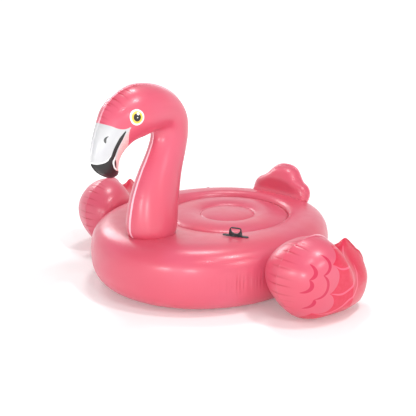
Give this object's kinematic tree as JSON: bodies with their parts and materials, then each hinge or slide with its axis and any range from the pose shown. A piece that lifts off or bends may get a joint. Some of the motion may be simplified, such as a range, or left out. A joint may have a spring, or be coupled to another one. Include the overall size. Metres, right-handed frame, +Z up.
{
  "type": "inflatable pool float",
  "caption": "Inflatable island float shaped like a wading bird: oval ring with a round seat, curved neck and head, side wings, tail, grab handles and air valves.",
  "frame": {"origin": "on the ground under the centre of the seat's middle disc", "axes": "+Z up, -Y the way the bird looks, +X its left"},
  "size_m": [2.1824, 1.7348, 1.2613],
  "materials": {
    "body_film": "glossy inflated vinyl film with soft weld gathers",
    "head_film": "glossy vinyl film printed with beak and eyes",
    "wing_film": "glossy vinyl film printed with feather scallops",
    "web_film": "unprinted vinyl film",
    "handle_vinyl": "moulded dark vinyl, satin",
    "valve_vinyl": "translucent moulded vinyl"
  },
  "bodies": {
    "float": {"ring_top_panel": "body_film", "ring_bottom_panel": "body_film", "seat_panel": "body_film", "seat_disc_panel": "body_film", "floor_panel": "body_film", "floor_disc_panel": "body_film", "outer_web": "web_film", "inner_web": "web_film", "neck_collar": "web_film", "tail_front_panel": "body_film", "tail_back_panel": "body_film", "handle_left": "handle_vinyl", "handle_right": "handle_vinyl", "ring_valve_base": "valve_vinyl", "tail_valve_base": "valve_vinyl"},
    "neck": {"neck_left_panel": "head_film", "neck_right_panel": "head_film", "neck_valve_base": "valve_vinyl"},
    "wing_left": {"wing_left_outer_panel": "wing_film", "wing_left_inner_panel": "wing_film"},
    "wing_right": {"wing_right_outer_panel": "wing_film", "wing_right_inner_panel": "wing_film"},
    "ring_valve_cap": {"ring_valve_cap": "valve_vinyl"},
    "ring_valve_flap": {"ring_valve_flap": "valve_vinyl"},
    "tail_valve_cap": {"tail_valve_cap": "valve_vinyl"},
    "tail_valve_flap": {"tail_valve_flap": "valve_vinyl"},
    "neck_valve_cap": {"neck_valve_cap": "valve_vinyl"},
    "neck_valve_flap": {"neck_valve_flap": "valve_vinyl"}
  },
  "joints": [
    {"name": "neck_sway", "type": "hinge", "parent": "float", "child": "neck", "pos_m": [0, -0.654, 0.384], "axis": [1, 0, 0], "range_deg": [-5, 5], "stiffness_Nm_per_rad": 80},
    {"name": "wing_left_lift", "type": "hinge", "parent": "float", "child": "wing_left", "pos_m": [0.672, -0.15, 0.318], "axis": [0, -1, 0], "range_deg": [0, 15]},
    {"name": "wing_right_lift", "type": "hinge", "parent": "float", "child": "wing_right", "pos_m": [-0.672, -0.15, 0.318], "axis": [0, 1, 0], "range_deg": [0, 15]},
    {"name": "ring_valve_cap_hinge", "type": "hinge", "parent": "float", "child": "ring_valve_cap", "pos_m": [-0.49427, 0.32926, 0.36433], "axis": [0.5934, 0.8049, 0], "range_deg": [0, 150]},
    {"name": "ring_valve_flap_hinge", "type": "hinge", "parent": "float", "child": "ring_valve_flap", "pos_m": [-0.48965, 0.32586, 0.34676], "axis": [-0.5934, -0.8049, 0], "range_deg": [0, 32], "stiffness_Nm_per_rad": 0.002},
    {"name": "tail_valve_cap_hinge", "type": "hinge", "parent": "float", "child": "tail_valve_cap", "pos_m": [0, 0.65466, 0.44347], "axis": [1, 0, 0], "range_deg": [0, 150]},
    {"name": "tail_valve_flap_hinge", "type": "hinge", "parent": "float", "child": "tail_valve_flap", "pos_m": [0, 0.63623, 0.44219], "axis": [-1, 0, 0], "range_deg": [0, 32], "stiffness_Nm_per_rad": 0.002},
    {"name": "neck_valve_cap_hinge", "type": "hinge", "parent": "neck", "child": "neck_valve_cap", "pos_m": [-0.12318, -0.55239, 0.53344], "axis": [0.4667, 0.8844, 0], "range_deg": [0, 150]},
    {"name": "neck_valve_flap_hinge", "type": "hinge", "parent": "neck", "child": "neck_valve_flap", "pos_m": [-0.10841, -0.56018, 0.52553], "axis": [-0.4667, -0.8844, 0], "range_deg": [0, 32], "stiffness_Nm_per_rad": 0.002}
  ]
}
